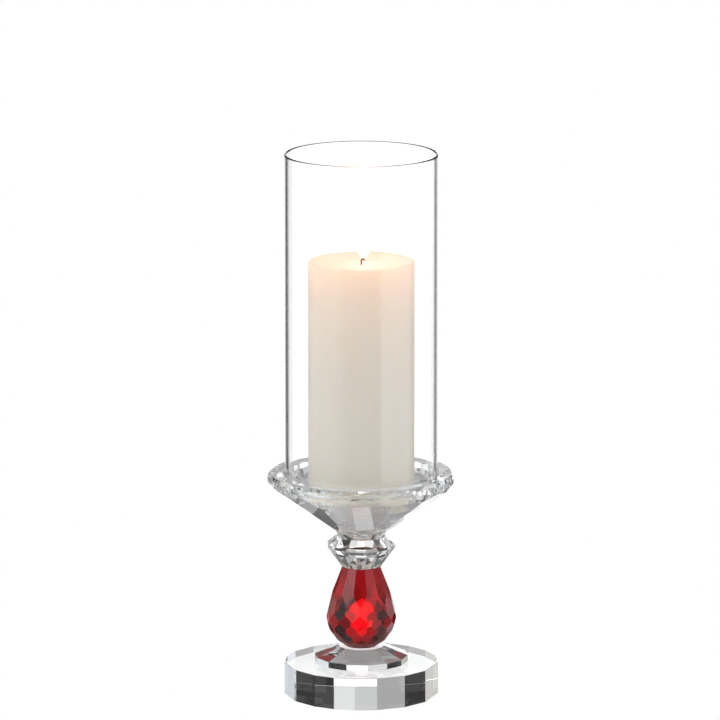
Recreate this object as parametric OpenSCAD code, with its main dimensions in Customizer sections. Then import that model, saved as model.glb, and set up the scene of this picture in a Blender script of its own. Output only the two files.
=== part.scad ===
// Crystal pedestal hurricane candle holder, in millimetres.
// Five cut crystals are bonded in a stack. A loose glass chimney and a pillar candle stand in the dish.
// Z is up and the origin is the centre of the base's underside.
// Azimuth 0 faces -Y and grows towards +X. A facet's tilt is its outward normal's angle above level.

/* [Base] */
// Radius of the base to the corners of its cut sides
base_r = 50.3; // [46:0.1:60]
// Thickness of the base
base_h = 21; // [15:0.5:30]

/* [Stem] */
// Number of facets around each stem crystal and the dish's cone
stem_facets = 14; // [10:1:20]
// Radius of the foot collar's upright band
collar_r = 30.6; // [28:0.1:40]
// Height of the foot collar
collar_h = 10.2; // [9:0.1:14]
// Height of the red drop
drop_h = 53; // [52.5:0.1:54]
// Radius of the knop's girdle
knop_r = 22.5; // [20:0.1:26]
// Height of the knop
knop_h = 20.2; // [18:0.1:24]

/* [Dish] */
// Radius of the dish's rim at the middle of each flat
dish_r = 60.6; // [60:0.1:61.5]
// Overall height of the dish
dish_h = 41.8; // [41:0.1:44]
// Radius of the round recess in the dish
recess_r = 51.3; // [50.5:0.1:52]
// Depth of the round recess in the dish
recess_depth = 10; // [8:0.1:11]

/* [Chimney] */
// Outside radius of the glass chimney
chimney_r = 49.8; // [47:0.1:50]
// Wall thickness of the glass chimney
chimney_wall = 1.8; // [1.6:0.1:3]
// Height of the glass chimney
chimney_h = 220; // [170:1:260]

/* [Candle] */
// Radius of the pillar candle
candle_r = 34.5; // [30:0.1:38]
// Height of the pillar candle
candle_h = 150; // [80:1:160]
// Depth of the melt pool below the candle's shoulder
pool_depth = 2.6; // [1:0.1:6]
// Radius of the braided wick
wick_r = 0.7; // [0.6:0.05:1.3]

/* [Hidden] */

// Sides of the turned pieces, of the round rims and wick, and of the wick's whole curl circle
turned_sides = 96;
bead_sides = 32;
curl_sides = 48;
// How far a cutting body runs past the face that it cuts
cut_over = 1;

// Each bond is one thin film of clear adhesive. It stops short of a crystal's cut edge.
bond_t = 0.2;
bond_inset = 0.8;
collar_z = base_h + bond_t;
drop_z = collar_z + collar_h + bond_t;
knop_z = drop_z + drop_h + bond_t;
dish_z = knop_z + knop_h + bond_t;
floor_z = dish_z + dish_h - recess_depth;

pitch = 360 / stem_facets;
half = pitch / 2;
// Half the size of the block that stands for one facet's solid side
reach = 160;

// Azimuths of the corners between the base's hand-cut side flats
base_corners = [
    -85, -60, -37, -20.5, -5, 11.5, 34, 56.5, 85, 105, 123.5, 141, 159.5, 199, 218.5, 239, 254.5
];

collar_band_h = 4;
collar_top_r = 15;
collar_phase = 7.6;

// Rows of the drop from the neck down: phase, tilt, radius at the facet's middle, height over the drop's foot
drop_phase = -2.5;
drop_rows = [
    [drop_phase, 20.5, 12, 53],
    [drop_phase + half, 13.5, 19.5, 33],
    [drop_phase, -1, 22.2, 22],
    [drop_phase + half, -18, 22.2, 16.5],
    [drop_phase, -36, 20.3, 10.2],
    [drop_phase + half, -53, 16.1, 4.3]
];
drop_blank_r = 30;
drop_neck_r = 11.6;
drop_foot_r = 10.1;

knop_foot_r = 13;
knop_top_r = 16.2;
knop_girdle_z = 13.4;
knop_girdle_h = 1.8;
knop_phase = 1.7;

rim_facets = 2 * stem_facets;
rim_half = 180 / rim_facets;
dish_phase = 7.9;
// Rows of the dish from the heel up: count, phase, tilt, radius at the facet's middle, drop below the rim
dish_rows = [
    [stem_facets, dish_phase, -54, 60, 7],
    [rim_facets, dish_phase + rim_half, -38, dish_r, 5.4],
    [rim_facets, dish_phase, 0, dish_r, 3],
    [rim_facets, dish_phase + rim_half, 42, dish_r - 1.8, 0]
];
// The heel is a short cut cone between the knop and the dish's wide cone.
heel_h = 3.6;
heel_foot_r = 14.8;
heel_top_r = 17.6;
heel_sink = 0.3;

// The pool's wall falls to this share of its depth, and its floor spreads to this share of its radius.
pool_share = 0.8;
pool_r = 27;
shoulder = 1.6;
// How much of the shoulder is cut off at the middle of its curve
shoulder_mid = 0.3;
foot_chamfer = 0.8;
tab_r = 10;
tab_t = 0.4;
tab_gap = 0.1;
tab_neck_h = 6;
tab_neck_wall = 0.8;
wick_gap = 0.05;
curl_r = 1.05;
curl_turn = 165;
wick_stand = 2.4;

// The block on the inner side of one flat facet
module facet_side(azimuth, tilt, r, z) {
    rotate([0, 0, azimuth])
        translate([0, -r, z])
            rotate([-tilt, 0, 0])
                translate([-reach, 0, -reach])
                    cube(2 * reach);
}

// What is left inside one row of equal facets
module facet_row(count, phase, tilt, r, z) {
    intersection_for (i = [0 : count - 1])
        facet_side(phase + i * 360 / count, tilt, r, z);
}

// A level slab that gives a crystal its flat top and foot
module slab(r, h) {
    translate([-r, -r, 0])
        cube([2 * r, 2 * r, h]);
}

// A frustum with one flat per stem facet, placed so that a corner faces the given azimuth
module cut_cone(azimuth, h, r1, r2) {
    rotate([0, 0, azimuth - 90])
        cylinder(h = h, r1 = r1, r2 = r2, $fn = stem_facets);
}

module bond(r) {
    cylinder(h = bond_t, r = r);
}

module base_disc() {
    color("lightcyan")
        linear_extrude(base_h)
            polygon([for (a = base_corners) [base_r * sin(a), -base_r * cos(a)]]);
}

module base_bond() {
    color("azure")
        translate([0, 0, base_h])
            bond(collar_r * cos(half) - bond_inset);
}

module foot_collar() {
    color("lightblue")
        translate([0, 0, collar_z])
            hull() {
                cut_cone(collar_phase, collar_band_h, collar_r, collar_r);
                translate([0, 0, collar_band_h])
                    cut_cone(collar_phase, collar_h - collar_band_h, collar_r, collar_top_r);
            }
}

module collar_bond() {
    color("azure")
        translate([0, 0, collar_z + collar_h])
            bond(drop_foot_r);
}

module red_drop() {
    color("crimson")
        translate([0, 0, drop_z])
            hull()
                intersection() {
                    slab(drop_blank_r, drop_h);
                    intersection_for (row = drop_rows)
                        facet_row(stem_facets, row[0], row[1], row[2], row[3]);
                }
}

module drop_bond() {
    color("azure")
        translate([0, 0, drop_z + drop_h])
            bond(drop_neck_r);
}

module knop() {
    color("lightblue")
        translate([0, 0, knop_z])
            hull() {
                cut_cone(knop_phase, knop_girdle_z, knop_foot_r, knop_r);
                translate([0, 0, knop_girdle_z])
                    cut_cone(knop_phase, knop_girdle_h, knop_r, knop_r);
                translate([0, 0, knop_girdle_z + knop_girdle_h])
                    cut_cone(knop_phase, knop_h - knop_girdle_z - knop_girdle_h, knop_r, knop_top_r);
            }
}

module knop_bond() {
    color("azure")
        translate([0, 0, knop_z + knop_h])
            bond(heel_foot_r * cos(half) - bond_inset);
}

module dish_stone() {
    hull()
        cut_cone(dish_phase, heel_h, heel_foot_r, heel_top_r);
    hull()
        intersection() {
            translate([0, 0, heel_h - heel_sink])
                slab(2 * dish_r, dish_h - heel_h + heel_sink);
            intersection_for (row = dish_rows)
                facet_row(row[0], row[1], row[2], row[3], dish_h - row[4]);
        }
}

module dish() {
    color("lightcyan")
        difference() {
            translate([0, 0, dish_z])
                dish_stone();
            translate([0, 0, floor_z])
                cylinder(h = recess_depth + cut_over, r = recess_r);
        }
}

module glass_chimney() {
    mid_r = chimney_r - chimney_wall / 2;
    round_z = chimney_h - chimney_wall / 2;
    color("whitesmoke", 0.4)
        translate([0, 0, floor_z])
            rotate_extrude($fn = turned_sides)
                union() {
                    translate([chimney_r - chimney_wall, 0])
                        square([chimney_wall, round_z]);
                    translate([mid_r, round_z])
                        circle(d = chimney_wall, $fn = bead_sides);
                }
}

module candle_wax() {
    core_r = wick_r + wick_gap;
    neck_r = core_r + tab_neck_wall + wick_gap;
    cup_r = tab_r + tab_gap;
    cup_h = 2 * tab_gap + tab_t;
    neck_top = cup_h + tab_neck_h;
    color("antiquewhite")
        translate([0, 0, floor_z])
            rotate_extrude($fn = turned_sides)
                polygon([
                    [core_r, neck_top],
                    [neck_r, neck_top],
                    [neck_r, cup_h],
                    [cup_r, cup_h],
                    [cup_r, 0],
                    [candle_r - foot_chamfer, 0],
                    [candle_r, foot_chamfer],
                    [candle_r, candle_h - shoulder],
                    [candle_r - shoulder_mid * shoulder, candle_h - shoulder_mid * shoulder],
                    [candle_r - shoulder, candle_h],
                    [candle_r - 2 * shoulder, candle_h],
                    [pool_r, candle_h - pool_share * pool_depth],
                    [pool_share * pool_r, candle_h - pool_depth],
                    [core_r, candle_h - pool_depth]
                ]);
}

module wick() {
    foot = 2 * tab_gap;
    bend_z = candle_h - pool_depth + wick_stand;
    color("saddlebrown")
        translate([0, 0, floor_z]) {
            translate([0, 0, foot])
                cylinder(h = bend_z - foot, r = wick_r);
            translate([curl_r, 0, bend_z])
                rotate([90, 0, 0])
                    rotate([0, 0, 180 - curl_turn])
                        rotate_extrude(angle = curl_turn, $fn = curl_sides)
                            translate([curl_r, 0])
                                circle(r = wick_r, $fn = bead_sides);
        }
}

module wick_tab() {
    neck_r = wick_r + wick_gap + tab_neck_wall;
    color("silver")
        translate([0, 0, floor_z + tab_gap])
            difference() {
                union() {
                    cylinder(h = tab_t, r = tab_r);
                    cylinder(h = tab_t + tab_neck_h, r = neck_r);
                }
                translate([0, 0, -cut_over])
                    cylinder(h = tab_t + tab_neck_h + 2 * cut_over, r = wick_r + wick_gap);
            }
}

base_disc();
base_bond();
foot_collar();
collar_bond();
red_drop();
drop_bond();
knop();
knop_bond();
dish();
glass_chimney();
candle_wax();
wick();
wick_tab();
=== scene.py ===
import math

import bmesh
import bpy
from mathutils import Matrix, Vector, noise


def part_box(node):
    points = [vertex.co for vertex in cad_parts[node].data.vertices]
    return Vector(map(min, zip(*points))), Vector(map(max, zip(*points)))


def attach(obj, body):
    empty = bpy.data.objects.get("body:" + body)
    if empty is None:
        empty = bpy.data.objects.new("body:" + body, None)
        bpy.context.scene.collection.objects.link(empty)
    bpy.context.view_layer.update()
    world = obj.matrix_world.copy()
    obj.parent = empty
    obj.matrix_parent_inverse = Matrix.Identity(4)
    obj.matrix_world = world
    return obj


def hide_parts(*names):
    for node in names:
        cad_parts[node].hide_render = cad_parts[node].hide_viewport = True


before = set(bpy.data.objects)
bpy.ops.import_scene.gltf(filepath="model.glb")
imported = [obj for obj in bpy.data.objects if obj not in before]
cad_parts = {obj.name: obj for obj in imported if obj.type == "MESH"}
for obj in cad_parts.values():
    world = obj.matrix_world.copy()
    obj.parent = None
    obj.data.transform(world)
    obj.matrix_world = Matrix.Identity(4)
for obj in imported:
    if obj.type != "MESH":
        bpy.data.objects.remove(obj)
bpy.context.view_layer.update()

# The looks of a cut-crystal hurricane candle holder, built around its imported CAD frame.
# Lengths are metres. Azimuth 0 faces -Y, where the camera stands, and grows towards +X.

MM = 0.001

# Gaps that keep glass surfaces apart, so that no two of them lie in one plane
SEAT_GAP = 0.05 * MM
BOND_GAP = 0.02 * MM

# Points this close are one point, and heights this close are one level
SAME_POINT = 0.002 * MM
SAME_LEVEL = 0.02 * MM

# Sides of the round pieces
BOND_SIDES = 96
CHIMNEY_SIDES = 256
CANDLE_SIDES = 180
FLAME_SIDES = 48

CAMERA_DISTANCE = 4.6
CAMERA_ELEVATION = math.radians(11.5)
CAMERA_TARGET_Z = 0.2213
CAMERA_LENS = 355
CAMERA_SHIFT = -0.0018


# ---------------------------------------------------------------- camera

def make_camera():
    data = bpy.data.cameras.new("camera")
    data.lens = CAMERA_LENS
    data.sensor_width = 36
    data.clip_end = 50
    data.shift_x = CAMERA_SHIFT
    camera = bpy.data.objects.new("camera", data)
    reach = CAMERA_DISTANCE * math.cos(CAMERA_ELEVATION)
    rise = CAMERA_DISTANCE * math.sin(CAMERA_ELEVATION)
    camera.location = (0, -reach, CAMERA_TARGET_Z + rise)
    camera.rotation_euler = (math.pi / 2 - CAMERA_ELEVATION, 0, 0)
    bpy.context.scene.collection.objects.link(camera)
    bpy.context.scene.camera = camera


# ---------------------------------------------------------------- node helpers

class Tree:
    """Short calls for building a node tree. A value may be a number, a tuple or another node's output."""

    def __init__(self, tree):
        self.tree = tree

    def node(self, kind, inputs=None, **settings):
        made = self.tree.nodes.new(kind)
        for name, value in settings.items():
            setattr(made, name, value)
        for name, value in (inputs or {}).items():
            self.set(made.inputs[name], value)
        return made

    def set(self, socket, value):
        if isinstance(value, bpy.types.NodeSocket):
            self.tree.links.new(value, socket)
        else:
            socket.default_value = value

    def math(self, operation, *values):
        made = self.node("ShaderNodeMath", operation=operation)
        for socket, value in zip(made.inputs, values):
            self.set(socket, value)
        return made.outputs[0]

    def vector(self, operation, *values):
        made = self.node("ShaderNodeVectorMath", operation=operation)
        for socket, value in zip(made.inputs, values):
            self.set(socket, value)
        return made.outputs["Value" if operation == "DOT_PRODUCT" else "Vector"]

    def height(self, position):
        return self.node("ShaderNodeSeparateXYZ", {"Vector": position}).outputs["Z"]

    def fade(self, value, start, end, low=0.0, high=1.0):
        """Goes smoothly from low at start to high at end."""
        inputs = {"Value": value, "From Min": start, "From Max": end, "To Min": low, "To Max": high}
        return self.node("ShaderNodeMapRange", inputs, interpolation_type="SMOOTHSTEP").outputs["Result"]

    def mix(self, factor, a, b):
        made = self.node("ShaderNodeMix", data_type="RGBA")
        self.set(made.inputs["Factor"], factor)
        self.set(made.inputs[6], a)
        self.set(made.inputs[7], b)
        return made.outputs[2]

    def noise(self, coordinates, scale, detail):
        inputs = {"Vector": coordinates, "Scale": scale, "Detail": detail}
        return self.node("ShaderNodeTexNoise", inputs).outputs["Fac"]

    def bump(self, height, strength, distance):
        inputs = {"Strength": strength, "Distance": distance, "Height": height}
        return self.node("ShaderNodeBump", inputs).outputs["Normal"]


def colour(r, g, b):
    return (r, g, b, 1.0)


def new_material(name):
    """A material with its Principled node, and its tree. Coordinates are the frame's metres."""
    material = bpy.data.materials.new(name)
    material.use_nodes = True
    tree = Tree(material.node_tree)
    shader = material.node_tree.nodes["Principled BSDF"]
    position = tree.node("ShaderNodeTexCoord").outputs["Object"]
    return material, tree, shader, position


# ---------------------------------------------------------------- materials

CRYSTAL_IOR = 1.53
CHIMNEY_IOR = 1.49
ADHESIVE_IOR = 1.5

# How deep the waves in polished or drawn glass are
POLISH_DEPTH = 0.006 * MM

# The red drop's painted facet shade, a tone per facet that stands in for the studio's light and shade seen
# through it: its attribute, waves per metre, where the waves start, middle and contrast.
# A face smaller than the smallest facet, in square metres, is a ground edge.
TONE_NAME = "painted_facet_shade"
TONE_SCALE = 55.0
TONE_OFFSET = (18.5, 2.0, 35.9)
TONE_MIDDLE = 0.55
TONE_CONTRAST = 2.6
SMALLEST_FACET = 3e-6

# How far down the wax the flame's glow fades to a third, and its strength at the top
GLOW_REACH = 28 * MM
GLOW_STRENGTH = 0.42

# How far below its top the wick starts to char, and where it is all charred
CHAR_START = 2.6 * MM
CHAR_END = 0.8 * MM


def make_glass(name, ior, roughness=0.0):
    material, tree, shader, position = new_material(name)
    shader.inputs["Roughness"].default_value = roughness
    shader.inputs["IOR"].default_value = ior
    shader.inputs["Transmission Weight"].default_value = 1.0
    return material, tree, shader, position


def add_tint(tree, shader, position, tint, deeper_tint):
    """A tint that drifts a little from place to place."""
    drift = tree.fade(tree.noise(position, 45.0, 2.0), 0.3, 0.7)
    tree.set(shader.inputs["Base Color"], tree.mix(drift, tint, deeper_tint))


def add_polish(tree, shader, position, waves_per_metre):
    """The faint waviness that a polishing wheel or a drawn tube's die leaves on glass."""
    waves = tree.noise(position, waves_per_metre, 2.0)
    tree.set(shader.inputs["Normal"], tree.bump(waves, 1.0, POLISH_DEPTH))


def make_crystal():
    material, tree, shader, position = make_glass("clear_crystal", CRYSTAL_IOR)
    add_tint(tree, shader, position, colour(0.968, 0.980, 0.984), colour(0.982, 0.988, 0.984))
    add_polish(tree, shader, position, 140.0)
    return material


def make_red_crystal():
    """Ruby glass. Each facet carries painted shade, a tone of its own that stands in for the light and shade
    seen through it.
    """
    material, tree, shader, position = make_glass("red_crystal", CRYSTAL_IOR)
    bright = colour(0.98, 0.90, 0.92)
    dim = colour(0.12, 0.07, 0.08)
    # Painted shade: each facet's stored tone darkens the ruby colour in place of the light it would pass
    tone = tree.node("ShaderNodeAttribute", attribute_name=TONE_NAME).outputs["Fac"]
    tree.set(shader.inputs["Base Color"], tree.mix(tone, dim, bright))
    grain = tree.noise(position, 300.0, 2.0)
    tree.set(shader.inputs["Roughness"], tree.fade(grain, 0.3, 0.7, 0.13, 0.16))
    add_polish(tree, shader, position, 160.0)
    absorb = tree.node("ShaderNodeVolumeAbsorption")
    absorb.inputs["Color"].default_value = colour(0.985, 0.0, 0.19)
    absorb.inputs["Density"].default_value = 150.0
    out = material.node_tree.nodes["Material Output"]
    tree.set(out.inputs["Volume"], absorb.outputs["Volume"])
    return material


def make_contact():
    """A bonded face: the adhesive matches the glass, so light goes straight on."""
    material, tree, shader, position = make_glass("bonded_face", 1.0)
    add_tint(tree, shader, position, colour(0.985, 0.99, 0.988), colour(0.995, 0.992, 0.99))
    return material


def make_adhesive():
    material, tree, shader, position = make_glass("clear_adhesive", ADHESIVE_IOR, 0.04)
    add_tint(tree, shader, position, colour(0.975, 0.978, 0.965), colour(0.985, 0.985, 0.98))
    return material


def make_chimney_glass():
    material, tree, shader, position = make_glass("chimney_glass", CHIMNEY_IOR)
    add_tint(tree, shader, position, colour(0.996, 0.999, 0.998), colour(0.999, 0.999, 0.999))
    along_the_draw = tree.vector("MULTIPLY", position, (1.0, 1.0, 0.06))
    add_polish(tree, shader, along_the_draw, 90.0)
    return material


def make_wax():
    """Ivory wax with faint pour streaks, lit from inside near its top by the flame."""
    material, tree, shader, position = new_material("wax")
    mottle = tree.noise(position, 60.0, 4.0)
    streaks = tree.noise(tree.vector("MULTIPLY", position, (1.0, 1.0, 0.08)), 220.0, 3.0)
    wax = tree.mix(mottle, colour(0.93, 0.862, 0.755), colour(0.955, 0.893, 0.80))
    wax = tree.mix(tree.fade(streaks, 0.35, 0.65, 0.0, 0.3), wax, colour(0.965, 0.915, 0.84))
    tree.set(shader.inputs["Base Color"], wax)
    tree.set(shader.inputs["Roughness"], tree.fade(mottle, 0.3, 0.7, 0.42, 0.55))
    shader.inputs["Subsurface Weight"].default_value = 0.5
    shader.inputs["Subsurface Radius"].default_value = (1.0, 0.7, 0.45)
    shader.inputs["Subsurface Scale"].default_value = 8 * MM
    depth = tree.math("SUBTRACT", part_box("candle_wax")[1].z, tree.height(position))
    glow = tree.math("EXPONENT", tree.math("DIVIDE", depth, -GLOW_REACH))
    tree.set(shader.inputs["Emission Color"], colour(1.0, 0.34, 0.08))
    tree.set(shader.inputs["Emission Strength"], tree.math("MULTIPLY", glow, GLOW_STRENGTH))
    tree.set(shader.inputs["Normal"], tree.bump(mottle, 0.15, 0.4 * MM))
    return material


def make_wick_cotton():
    """Waxed cotton fibres that darken to char at the tip."""
    material, tree, shader, position = new_material("wick_cotton")
    fibres = tree.noise(tree.vector("MULTIPLY", position, (1.0, 1.0, 0.3)), 6000.0, 2.0)
    cotton = tree.mix(fibres, colour(0.24, 0.11, 0.045), colour(0.42, 0.21, 0.09))
    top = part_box("wick")[1].z
    char = tree.fade(tree.height(position), top - CHAR_START, top - CHAR_END)
    tree.set(shader.inputs["Base Color"], tree.mix(char, cotton, colour(0.13, 0.055, 0.02)))
    shader.inputs["Roughness"].default_value = 0.8
    tree.set(shader.inputs["Normal"], tree.bump(fibres, 0.5, 0.1 * MM))
    return material


def make_tin():
    """Tin plate, brushed along X."""
    material, tree, shader, position = new_material("tin_plate")
    brushed = tree.noise(tree.vector("MULTIPLY", position, (1.0, 12.0, 1.0)), 900.0, 4.0)
    plate = tree.mix(brushed, colour(0.60, 0.60, 0.58), colour(0.78, 0.78, 0.76))
    tree.set(shader.inputs["Base Color"], plate)
    tree.set(shader.inputs["Roughness"], tree.fade(brushed, 0.3, 0.7, 0.28, 0.45))
    shader.inputs["Metallic"].default_value = 1.0
    return material


def make_flame_light():
    """Bluish at the wick, then warm white, and a deeper amber at the tip."""
    material, tree, shader, position = new_material("flame_light")
    shader.inputs["Base Color"].default_value = colour(0.0, 0.0, 0.0)
    shader.inputs["Roughness"].default_value = 1.0
    shader.inputs["Specular IOR Level"].default_value = 0.0
    rise = tree.math("SUBTRACT", tree.height(position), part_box("wick")[1].z)
    body = tree.mix(tree.fade(rise, 0.0, FLAME_BLUE), colour(0.72, 0.74, 0.90), colour(1.0, 0.82, 0.58))
    flame = tree.mix(tree.fade(rise, FLAME_AMBER, FLAME_HEIGHT), body, colour(1.0, 0.74, 0.44))
    tree.set(shader.inputs["Emission Color"], flame)
    shader.inputs["Emission Strength"].default_value = 5.5
    return material


# ---------------------------------------------------------------- mesh helpers

def add_piece(name, bm, body, materials, replaced=None):
    """Makes an object of a mesh. It rides on a body, and may stand for a CAD node."""
    mesh = bpy.data.meshes.new(name)
    bmesh.ops.recalc_face_normals(bm, faces=bm.faces)
    bm.to_mesh(mesh)
    bm.free()
    for material in materials:
        mesh.materials.append(material)
    piece = bpy.data.objects.new(name, mesh)
    bpy.context.scene.collection.objects.link(piece)
    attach(piece, body)
    if replaced:
        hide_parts(replaced)
    return piece


def ring_at(bm, radius, z, sides, x=0.0):
    """Points all round a level circle whose middle is at x."""
    angles = [2 * math.pi * i / sides for i in range(sides)]
    return [bm.verts.new((x + radius * math.sin(a), -radius * math.cos(a), z)) for a in angles]


def skin(bm, rings):
    """Bands of smooth faces from each ring to the next."""
    for lower, upper in zip(rings, rings[1:]):
        for i in range(len(lower)):
            j = (i + 1) % len(lower)
            face = bm.faces.new((lower[i], lower[j], upper[j], upper[i]))
            face.smooth = True


def lathe(profile, sides):
    """A closed mesh from a closed outline of (radius, height) points, turned about Z."""
    bm = bmesh.new()
    rings = [ring_at(bm, r, z, sides) for r, z in profile]
    skin(bm, rings + rings[:1])
    return bm


def arc(centre_r, centre_z, radius, start, end, steps):
    """A round stretch of an outline. Its angles are degrees up from the outward direction."""
    points = []
    for i in range(steps + 1):
        a = math.radians(start + (end - start) * i / steps)
        points.append((centre_r + radius * math.cos(a), centre_z + radius * math.sin(a)))
    return points


def radii(node):
    """The smallest and largest distance of a CAD node's points from the axis."""
    found = [math.hypot(v.co.x, v.co.y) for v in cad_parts[node].data.vertices]
    return min(found), max(found)


# ---------------------------------------------------------------- the crystals

# Faces that turn less than the first angle are one facet. Edges that turn more than the second are ground.
ONE_FACET = math.radians(0.3)
SHARP_EDGE = math.radians(6)
EDGE_BEVEL = 0.16 * MM

# A face is level if its normal rises more than the first share, and upright if it rises less than the second.
LEVEL = 0.999
UPRIGHT = 0.02

# The middle of each flat of a round wall lies within this of its radius
WALL_SLACK = 0.2 * MM

# How far the middle of an adhesive film's rim stands out
RIM_BULGE = 0.04 * MM

# Which of a stone's or film's materials is the bonded one
BONDED = 1


def cut_patch(bm, z, radius, facing):
    """Splits a round patch out of the flat face at height z and gives it the bonded material."""
    flat = [
        f for f in bm.faces
        if f.normal.z * facing > LEVEL and abs(f.calc_center_median().z - z) < SAME_LEVEL
    ]
    inside = set(flat)
    border = [e for f in flat for e in f.edges if not inside.issuperset(e.link_faces)]
    bmesh.ops.delete(bm, geom=flat, context="FACES_KEEP_BOUNDARY")
    circle = ring_at(bm, radius, z, BOND_SIDES)
    ring = [bm.edges.new(pair) for pair in zip(circle, circle[1:] + circle[:1])]
    bmesh.ops.triangle_fill(bm, edges=border + ring, use_beauty=True, normal=(0, 0, facing))
    patch = bm.faces.new(circle if facing > 0 else circle[::-1])
    patch.material_index = BONDED


def patch_under(bond):
    """The bonded patch on top of the crystal under a film: its height, its radius, and 1 for facing up."""
    low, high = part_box(bond)
    return low.z, high.x, 1


def patch_over(bond):
    """The bonded patch at the foot of the crystal over a film, which faces down."""
    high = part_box(bond)[1]
    return high.z, high.x, -1


def make_stone(node, materials, patches=()):
    """A cut crystal: the CAD facets with fine ground edges, and its bonded patches."""
    bm = bmesh.new()
    bm.from_mesh(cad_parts[node].data)
    bmesh.ops.remove_doubles(bm, verts=bm.verts, dist=SAME_POINT)
    bmesh.ops.dissolve_limit(bm, angle_limit=ONE_FACET, verts=bm.verts, edges=bm.edges)
    sharp = [e for e in bm.edges if e.is_manifold and e.calc_face_angle() > SHARP_EDGE]
    bmesh.ops.bevel(
        bm, geom=sharp, offset=EDGE_BEVEL, offset_type="OFFSET", segments=1,
        profile=0.5, affect="EDGES", clamp_overlap=True,
    )
    bm.normal_update()
    for f in bm.faces:
        f.material_index = 0
        f.smooth = False
    for z, radius, facing in patches:
        cut_patch(bm, z, radius, facing)
    bm.normal_update()
    return add_piece(node + "_cut", bm, "holder", materials, node)


def smooth_round_wall(piece, radius):
    """Shades the flats of a turned wall of that radius smooth."""
    for p in piece.data.polygons:
        near = abs(math.hypot(p.center.x, p.center.y) - radius) < WALL_SLACK
        if near and abs(p.normal.z) < UPRIGHT:
            p.use_smooth = True


def paint_facet_shade(piece):
    """Stores a painted shade for each facet, in soft groups round the drop, in place of the light and shade
    seen through it. Ground edges stay bright.
    """
    tones = piece.data.attributes.new(TONE_NAME, "FLOAT", "FACE")
    for p in piece.data.polygons:
        spot = noise.noise(p.center * TONE_SCALE + Vector(TONE_OFFSET))
        tone = min(1.0, max(0.0, TONE_MIDDLE + TONE_CONTRAST * spot))
        tones.data[p.index].value = tone if p.area > SMALLEST_FACET else 1.0


def make_bond(node, adhesive, contact):
    """A film of adhesive: a thin disc with a bulging rim and two bonded faces."""
    low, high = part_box(node)
    z0 = low.z + BOND_GAP
    z1 = high.z - BOND_GAP
    inset = high.x - RIM_BULGE
    bm = bmesh.new()
    outline = ((inset, z0), (high.x, (z0 + z1) / 2), (inset, z1))
    rings = [ring_at(bm, r, z, BOND_SIDES) for r, z in outline]
    skin(bm, rings)
    for ring in (rings[0][::-1], rings[-1]):
        face = bm.faces.new(ring)
        face.material_index = BONDED
    add_piece(node + "_film", bm, "holder", [adhesive, contact], node)


def recess_radius():
    """The radius of the dish's recess, from the CAD points level with its floor."""
    floor_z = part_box("glass_chimney")[0].z
    points = [v.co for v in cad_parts["dish"].data.vertices]
    return min(math.hypot(p.x, p.y) for p in points if abs(p.z - floor_z) < SAME_LEVEL)


def make_crystals():
    crystal = make_crystal()
    contact = make_contact()
    adhesive = make_adhesive()
    for node in ("base_bond", "collar_bond", "drop_bond", "knop_bond"):
        make_bond(node, adhesive, contact)

    def clear_stone(node, *patches):
        return make_stone(node, [crystal, contact], patches)

    clear_stone("base_disc", patch_under("base_bond"))
    clear_stone("foot_collar", patch_over("base_bond"), patch_under("collar_bond"))
    # The red drop gets painted shade, one tone per facet
    paint_facet_shade(make_stone("red_drop", [make_red_crystal()]))
    clear_stone("knop", patch_over("drop_bond"), patch_under("knop_bond"))
    dish = clear_stone("dish", patch_over("knop_bond"))
    smooth_round_wall(dish, recess_radius())


# ---------------------------------------------------------------- chimney

# Radius of the chimney's eased foot edges, and the steps in each of its round edges
CHIMNEY_EASE = 0.5 * MM
CHIMNEY_STEPS = 8


def make_chimney():
    low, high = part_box("glass_chimney")
    inner, outer = radii("glass_chimney")
    foot = low.z + SEAT_GAP
    ease = CHIMNEY_EASE
    bead = (outer - inner) / 2
    rim_z = high.z - bead
    profile = arc(inner + ease, foot + ease, ease, 180, 270, CHIMNEY_STEPS)
    profile += arc(outer - ease, foot + ease, ease, 270, 360, CHIMNEY_STEPS)
    profile += [(outer, foot + 2 * ease), (outer, rim_z - ease)]
    profile += arc((inner + outer) / 2, rim_z, bead, 0, 180, CHIMNEY_STEPS)
    profile += [(inner, rim_z - ease), (inner, foot + 2 * ease)]
    bm = lathe(profile, CHIMNEY_SIDES)
    glass = make_chimney_glass()
    add_piece("glass_chimney_tube", bm, "chimney", [glass], "glass_chimney")


# ---------------------------------------------------------------- candle

# The pocket in the candle's foot: room round the wick's tab, its height, and room round the tab's neck
TAB_GAP = 0.1 * MM
POCKET_HEIGHT = 0.6 * MM
NECK_ROOM = 0.9 * MM
# Points this close to the core's wall are on it
CORE_SLACK = 0.05 * MM

# The foot's eased edge and its middle, the shoulder's radius, and steps up the side and round the shoulder
FOOT_EASE = 1.0 * MM
FOOT_EASE_MIDDLE = 0.3 * MM
SHOULDER = 1.6 * MM
SIDE_STEPS = 60
SHOULDER_STEPS = 6

# The melt pool: how many shoulders in it starts, how soon its wall reaches its floor, and its steps
POOL_INSET = 2.2
POOL_FALL = 2.2
POOL_STEPS = 22

# Poured wax isn't quite true. Only its skin swells, and not at its foot.
SKIN_DEPTH = 8 * MM
STILL_FOOT = 0.5 * MM
# The side's waves per metre across and up, and how far they swell
SIDE_WAVES = 30
UP_WAVES = 12
SIDE_SWELL = 0.12 * MM
# The rim's waves per metre, where they start, how far they swell and how far the rim sinks
RIM_WAVES = 45
RIM_START = 3.7
RIM_SWELL = 0.25 * MM
RIM_SINK = 0.1 * MM
# An edge of the wax that turns more than this shades sharp
SHARP_WAX = math.radians(60)


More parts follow.
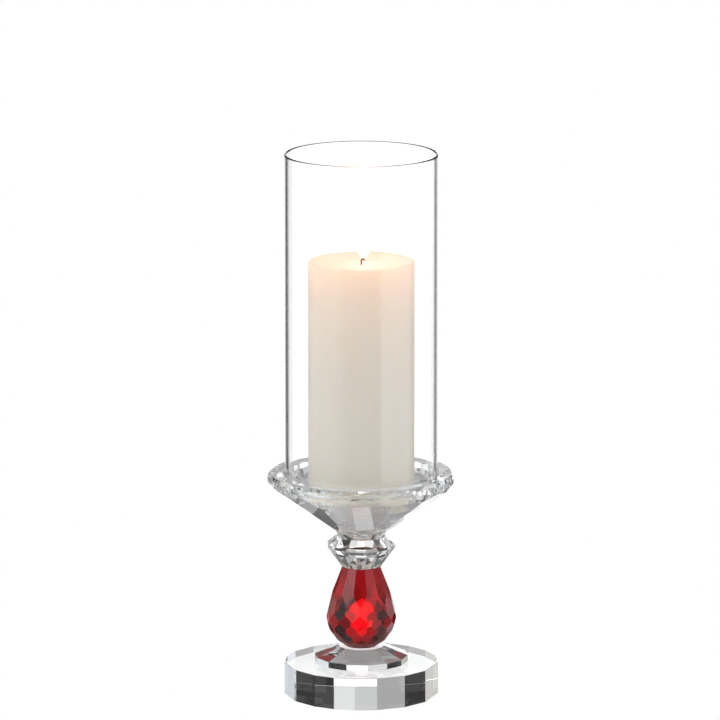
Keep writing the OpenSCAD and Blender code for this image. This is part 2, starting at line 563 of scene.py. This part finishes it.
def candle_foot():
    """Outline of the wick's core, the tab's pocket and the foot's edge, and the heights of foot and side."""
    low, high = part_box("candle_wax")
    tab_low, tab_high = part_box("wick_tab")
    core = radii("candle_wax")[0]
    radius = high.x
    foot = low.z + SEAT_GAP
    neck_top = tab_high.z + TAB_GAP
    pocket_top = tab_low.z + POCKET_HEIGHT
    pocket = tab_high.x + TAB_GAP
    return [
        (core, neck_top), (core + NECK_ROOM, neck_top), (core + NECK_ROOM, pocket_top),
        (pocket, pocket_top), (pocket, foot), (radius - FOOT_EASE, foot),
        (radius - FOOT_EASE_MIDDLE, foot + FOOT_EASE_MIDDLE), (radius, foot + FOOT_EASE),
    ]


def melt_pool():
    """Outline of the pool's wall and floor, from the rim in to the wick's core."""
    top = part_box("candle_wax")[1]
    core = radii("candle_wax")[0]
    points = [v.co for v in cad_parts["candle_wax"].data.vertices]
    floor_z = max(p.z for p in points if math.hypot(p.x, p.y) < core + CORE_SLACK)
    pool_r = top.x - POOL_INSET * SHOULDER
    outline = []
    for i in range(1, POOL_STEPS + 1):
        t = i / POOL_STEPS
        wall = 1 - min(1.0, POOL_FALL * t)
        outline.append((pool_r + (core - pool_r) * t, top.z - (top.z - floor_z) * (1 - wall ** 2)))
    return outline


def swell_wax(bm, radius, foot, side_top):
    """Moves the candle's skin and rim a little off their turned shape."""
    for v in bm.verts:
        r = math.hypot(v.co.x, v.co.y)
        if r < radius - SKIN_DEPTH or v.co.z < foot + STILL_FOOT:
            continue
        swell = noise.noise(Vector((v.co.x * SIDE_WAVES, v.co.y * SIDE_WAVES, v.co.z * UP_WAVES)))
        lean = 1 + SIDE_SWELL * swell / r
        v.co.x *= lean
        v.co.y *= lean
        if v.co.z > side_top - RIM_SINK:
            wave = noise.noise(Vector((v.co.x * RIM_WAVES, v.co.y * RIM_WAVES, RIM_START)))
            v.co.z += RIM_SWELL * wave - RIM_SINK


def make_candle():
    low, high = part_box("candle_wax")
    radius = high.x
    foot = low.z + SEAT_GAP
    side_foot = foot + FOOT_EASE
    side_top = high.z - SHOULDER
    profile = candle_foot()
    for i in range(1, SIDE_STEPS):
        profile.append((radius, side_foot + (side_top - side_foot) * i / SIDE_STEPS))
    profile += arc(radius - SHOULDER, side_top, SHOULDER, 0, 90, SHOULDER_STEPS)
    profile += melt_pool()
    bm = lathe(profile, CANDLE_SIDES)
    swell_wax(bm, radius, foot, side_top)
    piece = add_piece("candle_body", bm, "candle", [make_wax()], "candle_wax")
    piece.data.set_sharp_from_angle(angle=SHARP_WAX)


# ---------------------------------------------------------------- wick

# How far round the wick's end curls, and the steps along its straight part and its curl
CURL_TURN = math.radians(165)
STEM_STEPS = 200
CURL_STEPS = 40

# The braid: strands, the length of one turn, rings in a turn, and a strand's sides
STRANDS = 3
BRAID_PITCH = 3.2 * MM
RINGS_A_PITCH = 22
STRAND_SIDES = 8
# As shares of the wick's radius: a strand's radius, and how far it weaves sideways and across
STRAND_SHARE = 0.36
SIDE_SHARE = 0.60
ACROSS_SHARE = 0.40
SIDEWAYS = Vector((0, 1, 0))


def wick_path():
    """Points along the wick's centre line, up from its foot and over the curl, and the wick's radius."""
    low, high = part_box("wick")
    radius = high.y
    curl = (high.x - radius) / 2
    bend_z = high.z - radius - curl
    points = []
    for i in range(STEM_STEPS):
        points.append(Vector((0, 0, low.z + (bend_z - low.z) * i / STEM_STEPS)))
    for i in range(CURL_STEPS + 1):
        a = CURL_TURN * i / CURL_STEPS
        points.append(Vector((curl - curl * math.cos(a), 0, bend_z + curl * math.sin(a))))
    return points, radius


def place_at(points, lengths, s):
    """The point at length s along a path, and the path's direction there."""
    for k in range(len(points) - 1):
        if lengths[k + 1] >= s:
            break
    share = (s - lengths[k]) / (lengths[k + 1] - lengths[k])
    return points[k].lerp(points[k + 1], share), (points[k + 1] - points[k]).normalized()


def add_strand(bm, centres, radius):
    """A tube with closed ends along a line of points."""
    last = len(centres) - 1
    rings = []
    for i, centre in enumerate(centres):
        ahead = (centres[min(i + 1, last)] - centres[max(i - 1, 0)]).normalized()
        u = ahead.cross(SIDEWAYS).normalized()
        v = ahead.cross(u)
        ring = []
        for j in range(STRAND_SIDES):
            a = 2 * math.pi * j / STRAND_SIDES
            ring.append(bm.verts.new(centre + u * radius * math.cos(a) + v * radius * math.sin(a)))
        rings.append(ring)
    skin(bm, rings)
    bm.faces.new(rings[0][::-1])
    bm.faces.new(rings[-1])


def make_wick():
    points, radius = wick_path()
    lengths = [0.0]
    for a, b in zip(points, points[1:]):
        lengths.append(lengths[-1] + (b - a).length)
    total = lengths[-1]
    count = int(total / BRAID_PITCH * RINGS_A_PITCH)
    bm = bmesh.new()
    for k in range(STRANDS):
        phase = 2 * math.pi * k / STRANDS
        centres = []
        for i in range(count + 1):
            s = total * i / count
            centre, along = place_at(points, lengths, s)
            w = 2 * math.pi * s / BRAID_PITCH + phase
            sideways = SIDEWAYS * SIDE_SHARE * radius * math.sin(w)
            across = along.cross(SIDEWAYS) * ACROSS_SHARE * radius * math.sin(2 * w)
            centres.append(centre + sideways + across)
        add_strand(bm, centres, STRAND_SHARE * radius)
    add_piece("wick_braid", bm, "candle", [make_wick_cotton()], "wick")


def finish_tab():
    """The CAD tab keeps its shape and gets its metal."""
    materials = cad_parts["wick_tab"].data.materials
    materials.clear()
    materials.append(make_tin())


# ---------------------------------------------------------------- flame

# The flame stands over the wick, and its tip leans towards +X.
FLAME_GAP = 0.6 * MM
FLAME_HEIGHT = 36 * MM
FLAME_RADIUS = 4.3 * MM
FLAME_LEAN = 1.0 * MM
FLAME_ROWS = 48
# Heights above the wick where the blue foot ends and the amber tip begins
FLAME_BLUE = 5 * MM
FLAME_AMBER = 22 * MM

# The flame's half width as a share of its widest, at shares of its height
FLAME_SHAPE = [
    (0.0, 0.22), (0.04, 0.56), (0.10, 0.84), (0.20, 0.99), (0.32, 1.0), (0.45, 0.93), (0.58, 0.80),
    (0.70, 0.62), (0.80, 0.43), (0.89, 0.23), (0.96, 0.08), (1.0, 0.0)
]


def smooth_value(table, t):
    """Reads a table of (position, value) rows with eased steps between them."""
    for k in range(len(table) - 2):
        if t <= table[k + 1][0]:
            break
    (t0, v0), (t1, v1) = table[k], table[k + 1]
    before = table[max(k - 1, 0)]
    after = table[min(k + 2, len(table) - 1)]
    m0 = (v1 - before[1]) / (t1 - before[0]) * (t1 - t0)
    m1 = (after[1] - v0) / (after[0] - t0) * (t1 - t0)
    u = (t - t0) / (t1 - t0)
    return (
        (2 * u ** 3 - 3 * u ** 2 + 1) * v0 + (u ** 3 - 2 * u ** 2 + u) * m0
        + (3 * u ** 2 - 2 * u ** 3) * v1 + (u ** 3 - u ** 2) * m1
    )


def make_flame():
    wick_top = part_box("wick")[1]
    base = wick_top.z + FLAME_GAP
    middle = wick_top.x / 2
    bm = bmesh.new()
    rings = []
    for i in range(FLAME_ROWS):
        t = i / FLAME_ROWS
        r = FLAME_RADIUS * smooth_value(FLAME_SHAPE, t)
        rings.append(ring_at(bm, r, base + FLAME_HEIGHT * t, FLAME_SIDES, middle + FLAME_LEAN * t * t))
    skin(bm, rings)
    bm.faces.new(rings[0][::-1])
    tip = bm.verts.new((middle + FLAME_LEAN, 0, base + FLAME_HEIGHT))
    for a, b in zip(rings[-1], rings[-1][1:] + rings[-1][:1]):
        bm.faces.new((a, b, tip))
    for f in bm.faces:
        f.smooth = True
    add_piece("candle_flame", bm, "candle", [make_flame_light()])


# ---------------------------------------------------------------- studio

FLOOR_REACH = 3.0
# How far below the base the floor lies
FLOOR_DROP = 0.3 * MM


def make_floor():
    """A plain pale floor, seen by the camera only: the studio's own light is what the glass shows."""
    bm = bmesh.new()
    corners = [(-1, -1), (1, -1), (1, 1), (-1, 1)]
    bm.faces.new([bm.verts.new((FLOOR_REACH * x, FLOOR_REACH * y, -FLOOR_DROP)) for x, y in corners])
    mesh = bpy.data.meshes.new("floor")
    bm.to_mesh(mesh)
    bm.free()
    floor = bpy.data.objects.new("floor", mesh)
    bpy.context.scene.collection.objects.link(floor)
    material = bpy.data.materials.new("floor_white")
    material.use_nodes = True
    tree = Tree(material.node_tree)
    material.node_tree.nodes.remove(material.node_tree.nodes["Principled BSDF"])
    glow = tree.node("ShaderNodeEmission", {"Color": colour(1, 1, 1), "Strength": 1.0})
    tree.set(material.node_tree.nodes["Material Output"].inputs["Surface"], glow.outputs[0])
    mesh.materials.append(material)
    for rays in ("visible_diffuse", "visible_glossy", "visible_transmission", "visible_shadow"):
        setattr(floor, rays, False)


# The studio round the object, as soft-edged areas of brightness. Angles are degrees. A bearing of 0 is
# straight behind the object, and grows towards +X. A later row covers an earlier one.
# Each row: bearing from and to, elevation from and to, edge softness, brightness, colour.
NEUTRAL = (1.0, 1.0, 1.0)
COOL = (0.95, 0.99, 1.05)
WARM = (1.04, 1.0, 0.94)
STUDIO = [
    (82, 190, -88, -42, 6, 0.58, NEUTRAL),
    (-190, -82, -88, -42, 6, 0.58, NEUTRAL),
    (100, 150, -30, 42, 5, 0.95, NEUTRAL),
    (-134, -86, 1, 44, 5, 2.1, NEUTRAL),
    (38, 64, -34, 17, 3, 0.95, COOL),
    (62, 104, -62, -29, 5, 0.72, COOL),
    (-66, -38, -40, 17, 3, 0.64, WARM),
    (62, 112, -8, 13, 3, 0.75, NEUTRAL),
    (-112, -64, -8, 13, 3, 0.72, NEUTRAL),
    (-106, -73, -10, 6, 3, 1.02, NEUTRAL),
    (-60, -34, -42, -18, 3, 1.0, NEUTRAL),
    (60, 84, 15.5, 34, 3, 0.03, NEUTRAL),
    (-84, -60, 15.5, 34, 3, 0.03, NEUTRAL),
    (13, 37, -33, 36, 2.5, 0.015, NEUTRAL),
    (10, 21, -12.8, 32, 1.4, 0.46, NEUTRAL),
    (14, 21, 12.4, 17, 1.4, 0.05, NEUTRAL),
    (-37, -22, -30, 36, 2.5, 0.015, NEUTRAL),
    (-23.5, -12.5, -34, 17, 3, 0.38, NEUTRAL),
    (12.5, 27, -12.8, -2, 1.4, 0.5, NEUTRAL),
    (-11.5, 12, -70, 30, 3, 0.34, NEUTRAL),
    (-11.5, 0, 4, 20, 3, 0.64, NEUTRAL),
    (0, 11, 4, 20, 3, 0.84, NEUTRAL),
    (-12, 12, -31, -4, 3, 1.2, NEUTRAL),
    (-166, -134, 9, 24, 4, 1.2, NEUTRAL),
    (148, 172, 9, 24, 4, 0.8, NEUTRAL),
]
AMBIENT = 0.36
# The lit middle of the backdrop: its bearing, elevation, radius, edge softness and brightness
BACKDROP_SPOT = (1, -6, 12.5, 4, 1.24)
# The lamp's hot spot on the backdrop, in the same order
HOT_SPOT = (5, -2, 8, 4, 2.6)
# The dim room behind the camera: the bearing on each side where it starts, its elevation from and to,
# edge softness and brightness
FRONT_DARK = (150, -35, 50, 6, 0.12)
# What lights the matt faces: its level, and how much more comes from both sides and from the left
SOFT_LIGHT = (1.09, 0.34, 0.13)


def make_world():
    """Glass shows the studio, matt faces are lit by the soft light, and the camera sees plain white."""
    world = bpy.data.worlds.new("studio")
    world.use_nodes = True
    bpy.context.scene.world = world
    tree = Tree(world.node_tree)
    direction = tree.node("ShaderNodeTexCoord").outputs["Generated"]
    parts = tree.node("ShaderNodeSeparateXYZ", {"Vector": direction}).outputs
    bearing = tree.math("DEGREES", tree.math("ARCTAN2", parts["X"], parts["Y"]))
    elevation = tree.math("DEGREES", tree.math("ARCSINE", parts["Z"]))

    def edge(value, at, soft, low=0.0, high=1.0):
        return tree.fade(value, at - soft / 2, at + soft / 2, low, high)

    def window(value, start, end, soft):
        return tree.math("MULTIPLY", edge(value, start, soft), edge(value, end, soft, 1.0, 0.0))

    light = colour(AMBIENT, AMBIENT, AMBIENT)
    start, low, high, soft, level = FRONT_DARK
    in_front = edge(tree.math("ABSOLUTE", bearing), start, soft)
    share = tree.math("MULTIPLY", in_front, window(elevation, low, high, soft))
    light = tree.mix(share, light, colour(level, level, level))
    for b0, b1, e0, e1, soft, level, tint in STUDIO:
        share = tree.math("MULTIPLY", window(bearing, b0, b1, soft), window(elevation, e0, e1, soft))
        light = tree.mix(share, light, colour(*[level * t for t in tint]))
    for b0, e0, radius, soft, level in (BACKDROP_SPOT, HOT_SPOT):
        b = math.radians(b0)
        e = math.radians(e0)
        middle = (math.sin(b) * math.cos(e), math.cos(b) * math.cos(e), math.sin(e))
        away = tree.math("DEGREES", tree.math("ARCCOSINE", tree.vector("DOT_PRODUCT", direction, middle)))
        light = tree.mix(edge(away, radius, soft, 1.0, 0.0), light, colour(level, level, level))
    path = tree.node("ShaderNodeLightPath").outputs
    level, sides, left = SOFT_LIGHT
    soft = tree.math("MULTIPLY_ADD", tree.math("MULTIPLY", parts["X"], parts["X"]), sides, level)
    soft = tree.math("MULTIPLY_ADD", parts["X"], -left, soft)
    light = tree.mix(tree.math("GREATER_THAN", path["Diffuse Depth"], 0.5), light, soft)
    background = world.node_tree.nodes["Background"]
    tree.set(background.inputs["Color"], tree.mix(path["Is Camera Ray"], light, colour(1, 1, 1)))


def set_up_tracing():
    """Glass behind glass needs long light paths."""
    scene = bpy.context.scene
    scene.view_settings.view_transform = "Standard"
    scene.cycles.max_bounces = 40
    scene.cycles.glossy_bounces = 32
    scene.cycles.transmission_bounces = 32
    scene.cycles.diffuse_bounces = 4
    scene.cycles.transparent_max_bounces = 16


make_camera()
make_crystals()
make_chimney()
make_candle()
make_wick()
make_flame()
finish_tab()
make_floor()
make_world()
set_up_tracing()
